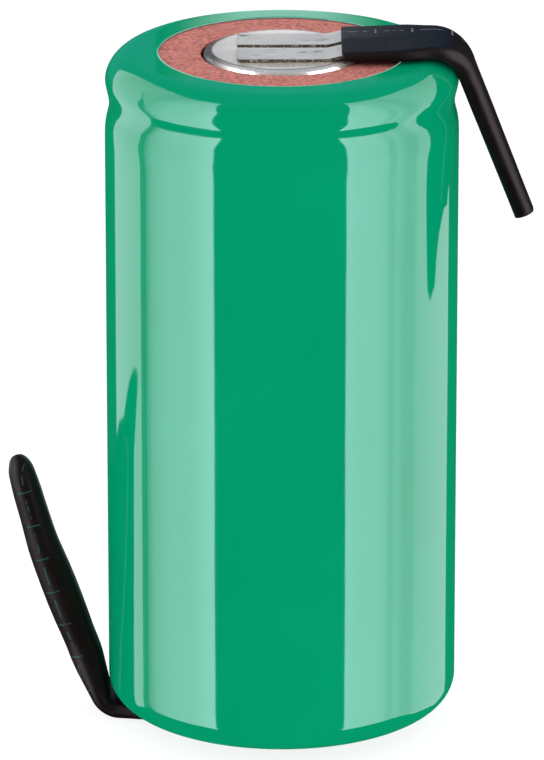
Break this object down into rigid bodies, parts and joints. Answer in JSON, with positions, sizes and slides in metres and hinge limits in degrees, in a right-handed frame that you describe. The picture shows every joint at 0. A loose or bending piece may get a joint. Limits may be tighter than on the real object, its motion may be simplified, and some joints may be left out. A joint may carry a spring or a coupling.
{
  "type": "cylindrical battery cell",
  "caption": "Green-sleeved cylindrical rechargeable cell with a flat positive cap, red fibre washer and slotted nickel solder tags in black insulating tubes.",
  "frame": {"origin": "centre of the negative tag's weld pad, on its flat underside, on the cell's axis", "axes": "+Z along the cell from the negative to the positive end, +X towards the positive tag's tail, -X towards the negative tag's tail"},
  "size_m": [0.0331, 0.0222, 0.045],
  "materials": {
    "shrink_film": "glossy deep green shrink film with fine shrink wrinkles at the rim",
    "plated_steel": "nickel-plated drawn steel",
    "spring_steel": "bright spring wire",
    "cap_nickel": "bright nickel plating with a polished rolled edge",
    "red_fibre": "matt red vulcanised fibre with a fine grain",
    "nylon": "natural nylon",
    "vent_rubber": "black rubber",
    "metal_hydride": "dark grey pressed alloy powder",
    "nickel_hydroxide": "greenish black paste in nickel foam",
    "separator_fleece": "white non-woven fleece",
    "nickel_sheet": "rolled nickel sheet",
    "insulator_board": "plain insulating board",
    "nickel_tag": "satin rolled nickel strip with small weld marks",
    "shrink_tube": "satin black polyolefin shrink tube with faint pale tick marks"
  },
  "bodies": {
    "cell": {"sleeve": "shrink_film", "can": "plated_steel", "lid": "plated_steel", "positive_cap": "cap_nickel", "fibre_washer": "red_fibre", "gasket": "nylon", "negative_plate": "metal_hydride", "positive_plate": "nickel_hydroxide", "separator_inner": "separator_fleece", "separator_outer": "separator_fleece", "negative_collector": "nickel_sheet", "positive_collector": "nickel_sheet", "collector_lead": "nickel_sheet", "top_insulator": "insulator_board", "positive_tag": "nickel_tag", "negative_tag": "nickel_tag", "positive_tube": "shrink_tube", "negative_tube": "shrink_tube", "vent_spring": "spring_steel"},
    "vent": {"vent_plate": "plated_steel", "vent_seal": "vent_rubber"}
  },
  "joints": [
    {"name": "vent_lift", "type": "slide", "parent": "cell", "child": "vent", "axis": [0, 0, 1], "range_m": [0, 0.00035], "stiffness_N_per_m": 5000, "springref_m": -0.0004, "deforming": ["vent_spring"]}
  ]
}
